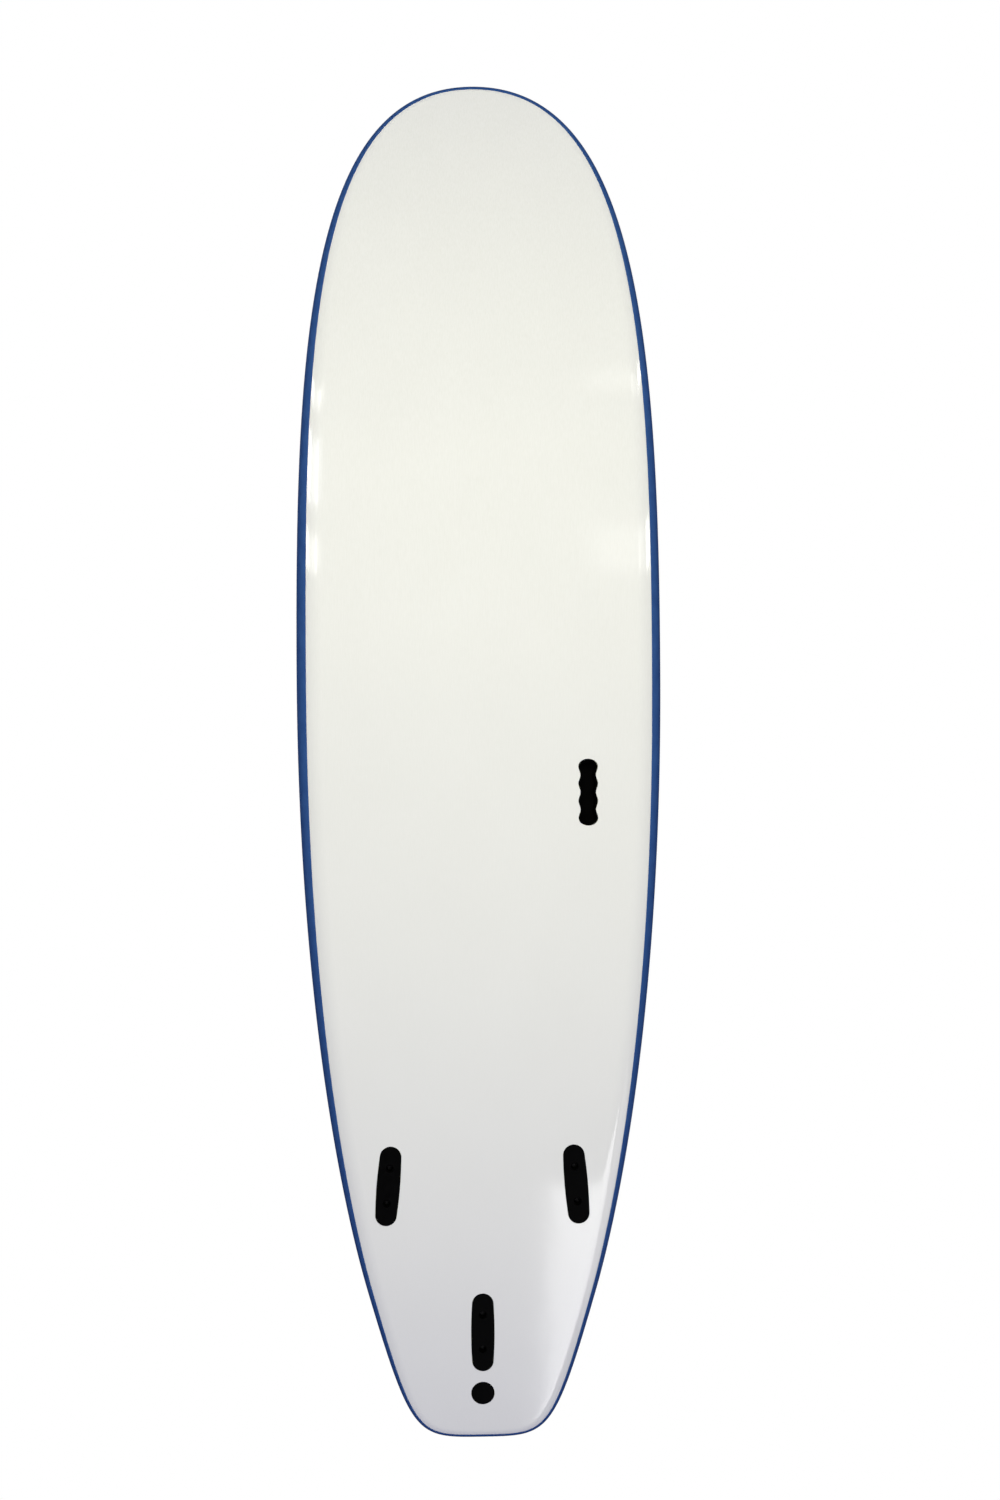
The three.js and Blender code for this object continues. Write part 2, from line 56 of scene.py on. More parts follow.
# ---- Board, in millimetres, as in the CAD part ----
HALF_LENGTH = 2134 / 2
HALF_WIDTH = 283
WIDE_POINT_X = 130  # where the board is widest
NOSE_ROUND = 265  # how far the nose curve runs straight across at the tip
HIP = np.array((-838.0, 177.0))  # where the side curve hands over to the tail curve
HIP_ANGLE = math.radians(16)  # how much the outline has turned in at the hip
TAIL_ROUND = 104  # half the width of the nearly straight end of the tail
# How far the outline runs straight on before it bends, from its widest point and from the hip:
WIDE_TO_NOSE = 499
WIDE_TO_HIP = 464
HIP_TO_WIDE = 178
HIP_TO_TAIL = 239

THICKNESS = 80
NOSE_THICKNESS = 24
TAIL_THICKNESS = 28
NOSE_THINNING = 2.6  # the powers by which the thickness falls towards the two ends
TAIL_THINNING = 2.8
NOSE_ROCKER = 118
TAIL_ROCKER = 58
FLAT_FROM_X = -250  # the bottom is flat between these two
FLAT_TO_X = 150
ROCKER_POWER = 2.2
DECK_CROWN = 0.14  # share of the thickness that the deck drops from the middle to the edge

# The edge of the board is two quarter ellipses that meet at its widest line. At full thickness:
EDGE_HEIGHT = 30  # the widest line above the bottom
TUCK = 40  # how far in the bottom becomes flat
SHOULDER = 45  # how far in the deck takes over from the rail
RAIL_BAND = 48  # how far in a section runs square to the outline, before it turns for the centreline
SEAM_ANGLE = math.radians(75)  # where the deck foam meets the rail foam, on the upper ellipse
SPINE_SHARE = 0.9  # where a section meets the centreline, as a share of its own place along the board,
SPINE_LOSS = 0.35  # and how much less that is for a wide section
# How far in from the outline the bottom sheet stops and the blue foam begins: `most` at x, less to both ends.
INSET = SimpleNamespace(x=90, most=15, nose_loss=8.5, nose_power=1.9, tail_loss=9.8, tail_power=1.35)

# ---- Layers ----
GAP = 0.3
RAIL_JOINT = 0.06  # the two rails are welded together at the nose and the tail
SLICK = 1.0
SLICK_RIM = 0.4  # how round the sheet's edge is
FOAM = 5.0  # rail and deck foam
FOAM_RIM = 0.9
PAST_RIM = 1.2  # where a foam layer's even columns start, in rim radii from its edge

# ---- Fittings ----
FIN_PLATE = SimpleNamespace(length=124, width=36, end_radius=16.5, flange=3, proud=0.5)
FIN_BLOCK = SimpleNamespace(length=84, width=26, depth=18, corner=3)  # the thick part, inside the blank
SOCKET = SimpleNamespace(radius=5.75, depth=12, flare=0.7)
SOCKET_ENDS = {"rear": -27.5, "front": 27.5}  # places along a fin plate
FIN_PLACES = {"left": (-665, 145.5, -4.8), "right": (-665, -145.5, 4.8), "centre": (-897, 0, 0)}  # x, y, toe
SCREW = SimpleNamespace(radius=3, head_radius=5.5, head=3, hex_radius=2.2, hex_depth=1.8, tip=11.4)
SCREW_HOLE = 3.5
WASHER = SimpleNamespace(radius=13, height=6, sunk=5.2, seat=2.6, well=6.3, top_loss=3.2, side_loss=2.3)
HANDLE = SimpleNamespace(x=-58, y=167, length=103, half=13.4, wave=1.55, pitch=26.7, cap_half=14.95)
HANDLE_CUP = SimpleNamespace(flange=2.5, lip=2.3, wall=1.5, depth=30, recess=0.2)
LEASH_X = -994
LEASH_CUP = SimpleNamespace(
    flange_radius=20, flange=2, radius=16, well_radius=13.5, well=14, floor=4.5, proud=0.5
)
LEASH_BAR = SimpleNamespace(radius=2.5, length=31, depth=5)
LEASH_SCREW = SimpleNamespace(radius=3, head_radius=5.8, head=3, gap=0.5, head_gap=0.4)
LEASH_CAP = SimpleNamespace(radius=18, flange=3, proud=0.6, dome=0.5, spigot_radius=7, hole_start=5)
FIT_GAP = 0.3  # the clearance round every fitting let into the board
# A lofted shape starts and ends on a slim core, so that its wide outline is never one flat face. This is how
# far the outline grows to it:
PLATE_CORE = -12
BLOCK_CORE = -2
HANDLE_CORE = -9
HANDLE_CUTTER_CORE = -8
CUTTER_REACH = 20  # how far a cutter reaches past the surface, both ways
LEASH_CUTTER_REACH = 15
SEAT_GAP = 0.1  # between a screw's head and its washer
WELL_ABOVE = 3 * THICKNESS  # how high above the bottom the rays start that look for the deck

# ---- Fineness of the visible meshes ----
OUTLINE_STEPS = ((120, 1.25), (90, 1), (110, 1))  # along the nose, side and tail curves, and their bunching
# Columns round the edge of the board. A foam layer has half as many on its inner face.
EDGE_STEPS = SimpleNamespace(slick=14, slick_inside=8, rail_low=12, rail_high=18, deck=8)
SHEET_COLUMNS = 40  # from the rail to the centreline
HIDDEN_COLUMNS = 12  # the same on a layer's inner face
RIM_POINTS = 5  # on the quarter circle of a rim
CURVE_POINTS = 40  # on each side and each end of a fin plate
CORNER_POINTS = 8  # on each corner of a fin plate's block
HANDLE_SIDE_POINTS = 91
HANDLE_END_POINTS = 33
ARC_POINTS = 6  # on the rounding of a corner
ARC_LEAD = 0.12  # the extra points just outside a rounding, as a share of its radius
TURNS = 96  # sides of a turned piece
SHARP = math.radians(32)  # edges that turn more than this are shaded as crisp


# ---- Shape of the board ----
def rocker(x):
    nose = np.maximum(0, (x - FLAT_TO_X) / (HALF_LENGTH - FLAT_TO_X))
    tail = np.maximum(0, (FLAT_FROM_X - x) / (FLAT_FROM_X + HALF_LENGTH))
    return NOSE_ROCKER * nose**ROCKER_POWER + TAIL_ROCKER * tail**ROCKER_POWER


def thickness(x):
    nose = np.clip(x / HALF_LENGTH, 0, 1)
    tail = np.clip(-x / HALF_LENGTH, 0, 1)
    nose_loss = (THICKNESS - NOSE_THICKNESS) * nose**NOSE_THINNING
    tail_loss = (THICKNESS - TAIL_THICKNESS) * tail**TAIL_THINNING
    return THICKNESS - nose_loss - tail_loss


def slick_inset(x):
    i = INSET
    nose = np.maximum(0, (x - i.x) / (HALF_LENGTH - i.x))
    tail = np.maximum(0, (i.x - x) / (HALF_LENGTH + i.x))
    return i.most - i.nose_loss * nose**i.nose_power - i.tail_loss * tail**i.tail_power


def bezier(points, t):
    """Places and unit directions along a cubic curve."""
    p = np.array(points, float)
    t = t[:, None]
    u = 1 - t
    place = u**3 * p[0] + 3 * u * u * t * p[1] + 3 * u * t * t * p[2] + t**3 * p[3]
    along = u * u * (p[1] - p[0]) + 2 * u * t * (p[2] - p[1]) + t * t * (p[3] - p[2])
    return place, along / np.linalg.norm(along, axis=1)[:, None]


def make_stations():
    """Sections square to the outline of the left half, from the tip of the nose to the middle of the tail."""
    turn = np.array((-math.cos(HIP_ANGLE), -math.sin(HIP_ANGLE)))
    tip, end = (HALF_LENGTH, 0), (-HALF_LENGTH, 0)
    widest = (WIDE_POINT_X, HALF_WIDTH)
    curves = [
        (tip, (HALF_LENGTH, NOSE_ROUND), (WIDE_POINT_X + WIDE_TO_NOSE, HALF_WIDTH), widest),
        (widest, (WIDE_POINT_X - WIDE_TO_HIP, HALF_WIDTH), HIP - HIP_TO_WIDE * turn, HIP),
        (HIP, HIP + HIP_TO_TAIL * turn, (-HALF_LENGTH, TAIL_ROUND), end),
    ]
    places, directions = [], []
    for curve, (steps, bunching) in zip(curves, OUTLINE_STEPS):
        first = 1 if places else 0
        t = (np.arange(first, steps + 1) / steps) ** bunching
        place, along = bezier(curve, t)
        places.append(place)
        directions.append(along)
    x, y = np.concatenate(places).T
    along_x, along_y = np.concatenate(directions).T
    in_x, in_y = -along_y, along_x
    in_x[[0, -1]], in_y[[0, -1]], y[[0, -1]] = (-1, 1), 0, 0
    scale = thickness(x) / THICKNESS
    rail = RAIL_BAND * scale
    shoulder_x, shoulder_y = x + in_x * rail, y + in_y * rail
    spine_x = shoulder_x * (SPINE_SHARE - SPINE_LOSS * shoulder_y / HALF_LENGTH)
    return SimpleNamespace(
        x=x,
        y=y,
        in_x=in_x,
        in_y=in_y,
        rail=rail,
        shoulder_x=shoulder_x,
        shoulder_y=shoulder_y,
        spine_x=spine_x,
        inner=np.hypot(shoulder_x - spine_x, shoulder_y),
        edge_height=EDGE_HEIGHT * scale,
        tuck=TUCK * scale,
        crown=SHOULDER * scale,
        inset=slick_inset(x),
    )


STATIONS = make_stations()


def on_path(distance):
    """The places that lie `distance` in from the outline, along each station's path to the centreline."""
    s = STATIONS
    share = np.clip((distance - s.rail) / s.inner, 0, 1)
    on_rail = distance <= s.rail
    x = np.where(on_rail, s.x + s.in_x * distance, s.shoulder_x + (s.spine_x - s.shoulder_x) * share)
    y = np.where(on_rail, s.y + s.in_y * distance, s.shoulder_y * (1 - share))
    return x, y


def deck_height(distance):
    outward = 1 - distance / (STATIONS.rail + STATIONS.inner)
    return thickness(on_path(distance)[0]) * (1 - DECK_CROWN * outward**2)


def raised(distance, height):
    x, y = on_path(distance)
    return np.stack((x, y, height + rocker(x)), axis=1)


def edge_column(face, angle, depth):
    """One point at each station, `depth` under the edge's quarter ellipse. Angle 0 is the widest line."""
    s = STATIONS
    reach = s.crown if face == "deck" else s.tuck
    distance = reach * (1 - np.cos(angle))
    rise = deck_height(distance) - s.edge_height if face == "deck" else -s.edge_height
    height = s.edge_height + rise * np.sin(angle)
    inward = np.stack((np.cos(angle) / reach, -np.sin(angle) / rise))
    inward = inward / np.hypot(*inward)
    return raised(distance + inward[0] * depth, height + inward[1] * depth)


def inner_column(face, share, depth):
    """One point at each station on the broad inner part of the deck or the bottom."""
    s = STATIONS
    distance = s.rail + s.inner * share
    return raised(distance, deck_height(distance) - depth if face == "deck" else depth + 0 * distance)


def angle_at(reach, distance):
    return np.arccos(1 - distance / reach)


def edge_columns(face, start, end, steps, depth):
    return [edge_column(face, start + (end - start) * i / steps, depth) for i in range(steps + 1)]


def inner_columns(face, steps, depth):
    return [inner_column(face, (i + 1) / steps, depth) for i in range(steps)]


def seam_distance():
    return STATIONS.crown * (1 - math.cos(SEAM_ANGLE))


def rim_columns(face, reach, edge, outward, thick, radius):
    """The rounded rim of a layer that ends `edge` in from the outline.

    outward is 1 for a layer between the outline and this rim, and -1 for one on the rim's inner side.
    """
    columns = []
    for turn in np.linspace(0, math.pi / 2, RIM_POINTS)[:-1]:
        distance = edge - outward * radius * (1 - math.sin(turn))
        columns.append(edge_column(face, angle_at(reach, distance), radius * (1 - math.cos(turn))))
    columns.append(edge_column(face, angle_at(reach, edge), radius))
    columns.append(edge_column(face, angle_at(reach, edge), thick))
    return columns


# ---- Meshes ----
def new_object(name, points, faces):
    mesh = bpy.data.meshes.new(name)
    mesh.from_pydata([tuple(p) for p in points], [], [tuple(int(i) for i in f) for f in faces])
    made = bpy.data.objects.new(name, mesh)
    SCENE.collection.objects.link(made)
    return made


def tidy_mesh(made, merge=1e-3):
    """Merges doubled points and turns every face outwards."""
    edit = bmesh.new()
    edit.from_mesh(made.data)
    bmesh.ops.remove_doubles(edit, verts=edit.verts, dist=merge)
    bmesh.ops.dissolve_degenerate(edit, edges=edit.edges, dist=merge / 10)
    bmesh.ops.recalc_face_normals(edit, faces=edit.faces)
    if edit.calc_volume(signed=True) < 0:
        bmesh.ops.reverse_faces(edit, faces=edit.faces)
    edit.to_mesh(made.data)
    edit.free()
    return made


def strip_faces(rows, columns, closed, first=0):
    """Quads between the columns of a grid whose points are listed row by row."""
    last = columns if closed else columns - 1
    for i in range(rows - 1):
        for j in range(last):
            a = first + i * columns + j
            b = first + i * columns + (j + 1) % columns
            yield a, b, b + columns, a + columns


def sheet(name, columns):
    """A closed layer over both halves of the board. Its columns run from the centreline out and back in."""
    grid = np.stack(columns, axis=1)
    rows, width = grid.shape[:2]
    left = grid.reshape(-1, 3)
    right = left * (1, -1, 1)
    faces = list(strip_faces(rows, width, closed=False))
    faces += [f[::-1] for f in strip_faces(rows, width, closed=False, first=rows * width)]
    return tidy_mesh(new_object(name, np.concatenate((left, right)), faces))


def rail_strip(name, columns, side):
    """Half of the rail foam: a closed profile swept along the outline, with flat ends at the centreline."""
    grid = np.stack(columns, axis=1)
    rows, width = grid.shape[:2]
    points = grid.reshape(-1, 3).copy()
    points[:, 1] = np.maximum(points[:, 1], RAIL_JOINT / 2)
    points[:, 1] *= side
    faces = list(strip_faces(rows, width, closed=True))
    faces += [tuple(range(width)), tuple(range((rows - 1) * width, rows * width))]
    return tidy_mesh(new_object(name, points, faces))


def loft(name, outlines):
    """A closed solid through outlines with the same number of points, with flat ends."""
    width = len(outlines[0])
    faces = list(strip_faces(len(outlines), width, closed=True))
    last = (len(outlines) - 1) * width
    faces += [tuple(range(width)), tuple(range(last, last + width))]
    return tidy_mesh(new_object(name, np.concatenate(outlines), faces))


def rounded(corners):
    """A path through (x, z, radius) corners, each turned into an arc with points just outside it."""
    path = []
    for i, (x, z, radius) in enumerate(corners):
        here = np.array((x, z), float)
        if not radius or i in (0, len(corners) - 1):
            path.append(here)
            continue
        back = np.array(corners[i - 1][:2]) - here
        ahead = np.array(corners[i + 1][:2]) - here
        back_unit, ahead_unit = back / np.linalg.norm(back), ahead / np.linalg.norm(ahead)
        half = math.acos(np.clip(back_unit @ ahead_unit, -1, 1)) / 2
        reach = radius / math.tan(half)
        between = back_unit + ahead_unit
        middle = here + between / np.linalg.norm(between) * radius / math.sin(half)
        start, end = here + back_unit * reach - middle, here + ahead_unit * reach - middle
        sweep = math.atan2(start[0] * end[1] - start[1] * end[0], start @ end)
        path.append(middle + start + back_unit * ARC_LEAD * radius)
        for k in range(ARC_POINTS):
            turn = sweep * k / (ARC_POINTS - 1)
            c, s = math.cos(turn), math.sin(turn)
            path.append(middle + (start[0] * c - start[1] * s, start[0] * s + start[1] * c))
        path.append(middle + end + ahead_unit * ARC_LEAD * radius)
    return path


def turned(name, corners, turns=TURNS):
    """A piece turned about +Z. Its section's (radius, z, corner radius) corners run from axis to axis."""
    path = rounded(corners)
    around = np.linspace(0, 2 * math.pi, turns, endpoint=False)
    rings = []
    for radius, z in path:
        ring = np.stack((radius * np.cos(around), radius * np.sin(around), z + 0 * around), axis=1)
        rings.append(ring)
    return loft(name, rings)


def rod(name, radius, low, high, rounding=(0, 0), turns=TURNS):
    """A plain cylinder along +Z, with its two rims rounded."""
    rims = [(radius, low, rounding[0]), (radius, high, rounding[1])]
    return turned(name, [(0, low, 0), *rims, (0, high, 0)], turns)


def ring_of(name, corners):
    """A turned piece with a hole along its axis: its section closes on itself."""
    path = rounded([*corners, corners[0]])[:-1]
    around = np.linspace(0, 2 * math.pi, TURNS, endpoint=False)
    points = [(r * math.cos(a), r * math.sin(a), z) for a in around for r, z in path]
    width = len(path)
    faces = []
    for i in range(TURNS):
        here, there = i * width, ((i + 1) % TURNS) * width
        for j in range(width):
            after = (j + 1) % width
            faces.append((here + j, here + after, there + after, there + j))
    return tidy_mesh(new_object(name, points, faces))


def outline_loft(name, outline, corners):
    """A loft of an outline that grows and shrinks, from (grow, z, corner radius) corners."""
    levels = []
    for grow, z in rounded(corners):
        edge = outline(grow)
        levels.append(np.column_stack((edge, np.full(len(edge), z))))
    return loft(name, levels)


def moved(made, matrix):
    made.data.transform(matrix)
    return made


def combine(target, others, operation):
    """Joins other objects into one and cuts it from, or adds it to, the target."""
    tool = others[0]
    if len(others) > 1:
        edit = bmesh.new()
        for other in others:
            edit.from_mesh(other.data)
        edit.to_mesh(tool.data)
        edit.free()
    modifier = target.modifiers.new("combine", "BOOLEAN")
    modifier.operation = operation
    modifier.solver = "EXACT"
    modifier.object = tool
    evaluated = target.evaluated_get(bpy.context.evaluated_depsgraph_get())
    result = bpy.data.meshes.new_from_object(evaluated)
    target.modifiers.clear()
    target.data = result
    for other in others:
        bpy.data.objects.remove(other)
    return target


def place_piece(made, nodes, material):
    """Finishes a piece: metres, smooth shading with crisp edges, its material, and what it stands for."""
    made.data.transform(Matrix.Scale(MM, 4))
    made.data.shade_smooth()
    made.data.set_sharp_from_angle(angle=SHARP)
    made.data.materials.clear()
    made.data.materials.append(material)
    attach(made, "root")
    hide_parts(*nodes)
    return made


# ---- Frames for the fittings ----
def rocker_slope(x):
    return float(rocker(x + 0.5) - rocker(x - 0.5))


def bottom_frame(x, y, toe=0):
    """A place on the bottom with its own +Z square to the bottom and into the board."""
    tilt = Matrix.Rotation(-math.atan(rocker_slope(x)), 4, "Y")
    turn = Matrix.Rotation(math.radians(toe), 4, "Z")
    return Matrix.Translation((x, y, float(rocker(x)))) @ tilt @ turn


# ---- Materials ----
PLY_PAIR = 2.16  # one pale and one dark ply of a stringer
MIX_COLOR_A = 6  # a Mix node's colour sockets
MIX_COLOR_B = 7
MIX_COLOR_RESULT = 2


class Shader:
    """A node material on one Principled shader, with short calls to add and link nodes."""

    def __init__(self, name, color, roughness, **sockets):
        self.material = bpy.data.materials.new(name)
        self.material.use_nodes = True
        self.tree = self.material.node_tree
        self.shader = self.tree.nodes["Principled BSDF"]
        self.set(Base_Color=(*color, 1), Roughness=roughness, **sockets)
        self.place = self.node("TexCoord").outputs["Object"]

    def set(self, **sockets):
        for name, value in sockets.items():
            self.put(self.shader.inputs[name.replace("_", " ")], value)

    def put(self, socket, value):
        if isinstance(value, bpy.types.NodeSocket):
            self.tree.links.new(value, socket)
        else:
            socket.default_value = value

    def node(self, kind, inputs=None, **settings):
        made = self.tree.nodes.new("ShaderNode" + kind)
        for name, value in settings.items():
            setattr(made, name, value)
        for name, value in (inputs or {}).items():
            self.put(made.inputs[name], value)
        return made

    def stretched(self, size):
        """The object's place measured in cells of the given size, in millimetres along X, Y and Z."""
        scale = tuple(1 / (MM * s) for s in size)
        return self.node("Mapping", {"Vector": self.place, "Scale": scale}).outputs["Vector"]

    def noise(self, size, detail=2.0, roughness=0.5):
        inputs = {"Vector": self.stretched(size), "Scale": 1.0, "Detail": detail, "Roughness": roughness}
        return self.node("TexNoise", inputs).outputs["Fac"]

    def cells(self, size):
        """How far each place is from the nearest border between irregular cells of the given size."""
        inputs = {"Vector": self.stretched(size), "Scale": 1.0, "Randomness": 1.0}
        return self.node("TexVoronoi", inputs, feature="DISTANCE_TO_EDGE").outputs["Distance"]

    def remap(self, value, start, end, low=0.0, high=1.0):
        inputs = {"Value": value, "From Min": start, "From Max": end, "To Min": low, "To Max": high}
        return self.node("MapRange", inputs).outputs["Result"]

    def spread(self, noise, low=0.0, high=1.0):
        """A noise, whose values mostly lie from 0.3 to 0.7, spread over low to high."""
        return self.remap(noise, 0.3, 0.7, low, high)

    def math(self, operation, a, b):
        return self.node("Math", {0: a, 1: b}, operation=operation).outputs[0]

    def mix(self, factor, a, b):
        made = self.node("Mix", {"Factor": factor}, data_type="RGBA")
        for number, color in ((MIX_COLOR_A, a), (MIX_COLOR_B, b)):
            self.put(made.inputs[number], color if isinstance(color, bpy.types.NodeSocket) else (*color, 1))
        return made.outputs[MIX_COLOR_RESULT]

    def bump(self, height, depth, normal=None):
        """Relief of the given depth in millimetres, on top of an earlier normal."""
        inputs = {"Height": height, "Distance": depth * MM, "Strength": 1.0}
        if normal is not None:
            inputs["Normal"] = normal
        return self.node("Bump", inputs).outputs["Normal"]

    def along(self, axis):
        return self.node("SeparateXYZ", {"Vector": self.place}).outputs[axis]


def slick_material():
    """Satin polyethylene sheet, with the faint lengthwise grain that shows most towards the nose."""
    m = Shader("slick_sheet", (0.85, 0.85, 0.85), 0.2, Specular_IOR_Level=0.35)
    grain = m.noise((14, 1.8, 1.8), detail=3, roughness=0.6)
    fibres = m.noise((45, 1.1, 1.1), detail=2)
    clouds = m.noise((160, 120, 120), detail=3)
    to_nose = m.remap(m.along("X"), -0.5, 0.9, 0.15, 1.0)
    woven = m.math("ADD", m.math("MULTIPLY", grain, 0.65), m.math("MULTIPLY", fibres, 0.35))
    tone = m.math("MULTIPLY", m.remap(woven, 0.35, 0.65, -1.0, 1.0), m.math("MULTIPLY", to_nose, 0.5))
    tone = m.math("ADD", m.math("ADD", tone, 0.5), m.spread(clouds, -0.12, 0.12))
    m.set(Base_Color=m.mix(tone, (0.825, 0.826, 0.815), (0.872, 0.872, 0.868)))
    m.set(Roughness=m.remap(m.math("ADD", woven, clouds), 0.6, 1.4, 0.06, 0.08))
    m.set(Normal=m.bump(m.math("MULTIPLY", woven, to_nose), 0.005, m.bump(clouds, 0.25)))
    return m.material


def rail_material():
    """Closed-cell foam skin, deep blue, with fine pores and a little cloudiness, and painted shade in the
    pores.
    """
    m = Shader("rail_foam", (0.036, 0.098, 0.30), 0.6, Specular_IOR_Level=0.015)
    pores = m.noise((0.9, 0.9, 0.9), detail=2)
    clouds = m.noise((22, 14, 14), detail=3)
    color = m.mix(m.spread(clouds), (0.031, 0.088, 0.28), (0.041, 0.11, 0.325))
    # Painted shade: the pores are coloured darker where the bump sinks them into pits.
    m.set(Base_Color=m.mix(m.remap(pores, 0.35, 0.5, 0.25, 0.0), color, (0.02, 0.055, 0.19)))
    m.set(Roughness=m.spread(clouds, 0.5, 0.62))
    m.set(Normal=m.bump(pores, 0.035, m.bump(clouds, 0.2)))
    return m.material


def deck_material():
    """The deck's foam, embossed with small irregular cells for grip, with painted shade in the grooves
    between them.
    """
    m = Shader("deck_foam", (0.04, 0.12, 0.36), 0.6, Specular_IOR_Level=0.3)
    warp = m.noise((30, 30, 30), detail=1)
    edge = m.cells((6.5, 4.6, 6))
    lump = m.remap(edge, 0.0, 0.16)
    fine = m.noise((0.8, 0.8, 0.8), detail=2)
    clouds = m.noise((140, 90, 90), detail=3)
    color = m.mix(m.spread(clouds), (0.036, 0.108, 0.33), (0.046, 0.132, 0.385))
    # Painted shade: the grooves between the cells are coloured darker, where the bump sinks them.
    m.set(Base_Color=m.mix(m.remap(lump, 0.0, 1.0, 0.5, 0.0), color, (0.018, 0.058, 0.2)))
    m.set(Roughness=m.math("ADD", m.spread(fine, 0.55, 0.68), m.spread(warp, -0.04, 0.04)))
    m.set(Normal=m.bump(lump, 0.45, m.bump(fine, 0.08)))
    m.set(Sheen_Weight=0.1, Sheen_Roughness=0.5)
    return m.material


def nylon_material(name, tone, specular):
    """Moulded black nylon with a fine spark-eroded texture."""
    m = Shader(name, (tone, tone, 1.1 * tone), 0.5, Specular_IOR_Level=specular)
    grain = m.noise((0.5, 0.5, 0.5), detail=3)
    clouds = m.noise((12, 12, 12), detail=2)
    dark, light = 0.7 * tone, 1.3 * tone
    m.set(Base_Color=m.mix(m.spread(clouds), (dark, dark, 1.1 * dark), (light, light, 1.1 * light)))
    m.set(Roughness=m.spread(clouds, 0.38, 0.52))
    m.set(Normal=m.bump(grain, 0.03))
    return m.material


def underlay_material():
    m = Shader("underlay_foam", (0.76, 0.76, 0.73), 0.85)
    pores = m.noise((1.2, 1.2, 1.2), detail=3)
    m.set(Base_Color=m.mix(pores, (0.70, 0.70, 0.67), (0.80, 0.80, 0.77)), Normal=m.bump(pores, 0.2))
    return m.material


def blank_material():
    """Moulded polystyrene: beads pressed flat against each other."""
    m = Shader("polystyrene", (0.88, 0.88, 0.86), 0.8)
    edge = m.remap(m.cells((4, 4, 4)), 0.0, 0.12)
    m.set(Base_Color=m.mix(edge, (0.74, 0.74, 0.72), (0.90, 0.90, 0.88)), Normal=m.bump(edge, 0.3))
    return m.material


def plywood_material():
    """Five plies stacked across the strip, with the grain along the board."""
    m = Shader("plywood", (0.55, 0.36, 0.19), 0.7)
    grain = m.noise((60, 1.5, 1.2), detail=4, roughness=0.65)
    across = m.stretched((PLY_PAIR, PLY_PAIR, PLY_PAIR))
    plies = m.node("TexWave", {"Vector": across, "Scale": 1.0 / math.pi}, bands_direction="Y").outputs["Fac"]
    color = m.mix(m.spread(grain), (0.42, 0.26, 0.13), (0.62, 0.43, 0.24))
    m.set(Base_Color=m.mix(m.spread(plies, 0.0, 0.35), color, (0.30, 0.18, 0.09)))
    m.set(Normal=m.bump(grain, 0.15))
    return m.material


def sleeve_material():
    m = Shader("grey_tube", (0.26, 0.27, 0.28), 0.5)
    lines = m.noise((0.6, 0.6, 25), detail=2)
    m.set(Base_Color=m.mix(lines, (0.22, 0.23, 0.24), (0.30, 0.31, 0.32)), Normal=m.bump(lines, 0.05))
    return m.material


def steel_material():
    """Stainless steel, lightly brushed."""
    m = Shader("stainless", (0.32, 0.325, 0.34), 0.45, Metallic=1.0)
    lines = m.noise((0.3, 12, 0.3), detail=3)
    m.set(Base_Color=m.mix(lines, (0.27, 0.275, 0.29), (0.37, 0.375, 0.39)))
    m.set(Roughness=m.spread(lines, 0.38, 0.52), Normal=m.bump(lines, 0.01))
    return m.material


MATERIALS = {
    "slick": slick_material(),
    "underlay": underlay_material(),
    "rail_foam": rail_material(),
    "deck_foam": deck_material(),
    "blank": blank_material(),
    "plywood": plywood_material(),
    # The bottom's fittings: black nylon darkened almost to black and almost without gloss, as painted shade.
    "nylon": nylon_material("black_nylon", 0.0014, 0.012),
    "sleeve": sleeve_material(),
    "steel": steel_material(),
}
LIGHTER_NYLON_COPY = nylon_material("black_nylon_lighter_copy", 0.004, 0.1)  # a lighter, glossier copy of the same nylon, for the deck's fittings and the fin screws; the bottom's darker copy is painted shade


def finish_cad_nodes():
    """Gives every carried-over CAD node the material of its slot in the record."""
    for part in frame["record"]["subparts"]:
        node = frame["nodes"][part["node"]]
        material = MATERIALS[part["material_slot"]]
        node.data.materials.clear()
        node.data.materials.append(material)


# ---- Shells ----
def bottom_slick():
    s = STATIONS
    edge = s.inset + GAP / 2
    rim = rim_columns("bottom", s.tuck, edge, -1, SLICK, SLICK_RIM)
    start, end = angle_at(s.tuck, edge + 2 * SLICK_RIM), math.pi / 2
    outer = edge_columns("bottom", start, end, EDGE_STEPS.slick, 0)
    outer += inner_columns("bottom", SHEET_COLUMNS, 0)
    inner = edge_columns("bottom", start, end, EDGE_STEPS.slick_inside, SLICK)
    inner += inner_columns("bottom", HIDDEN_COLUMNS, SLICK)
    return sheet("slick_shell", [*outer[::-1], *rim, *inner])


def rail(side):
    """The foam round one edge, from the bottom sheet out to the widest line and up to the deck foam."""
    s = STATIONS
    low = s.inset - GAP / 2
    high = seam_distance() - GAP / 2
    low_rim = rim_columns("bottom", s.tuck, low, 1, FOAM, FOAM_RIM)
    high_rim = rim_columns("deck", s.crown, high, 1, FOAM, FOAM_RIM)
    start = angle_at(s.tuck, low - PAST_RIM * FOAM_RIM)
    end = angle_at(s.crown, high - PAST_RIM * FOAM_RIM)
    steps_low, steps_high = EDGE_STEPS.rail_low, EDGE_STEPS.rail_high
    outer = edge_columns("bottom", start, 0, steps_low, 0)[:-1]
    outer += edge_columns("deck", 0, end, steps_high, 0)
    inner = edge_columns("bottom", start, 0, steps_low // 2, FOAM)[:-1]
    inner += edge_columns("deck", 0, end, steps_high // 2, FOAM)
    name = "rail_foam_left" if side > 0 else "rail_foam_right"
    return rail_strip(name, [*low_rim[::-1], *outer, *high_rim, *inner[::-1]], side)


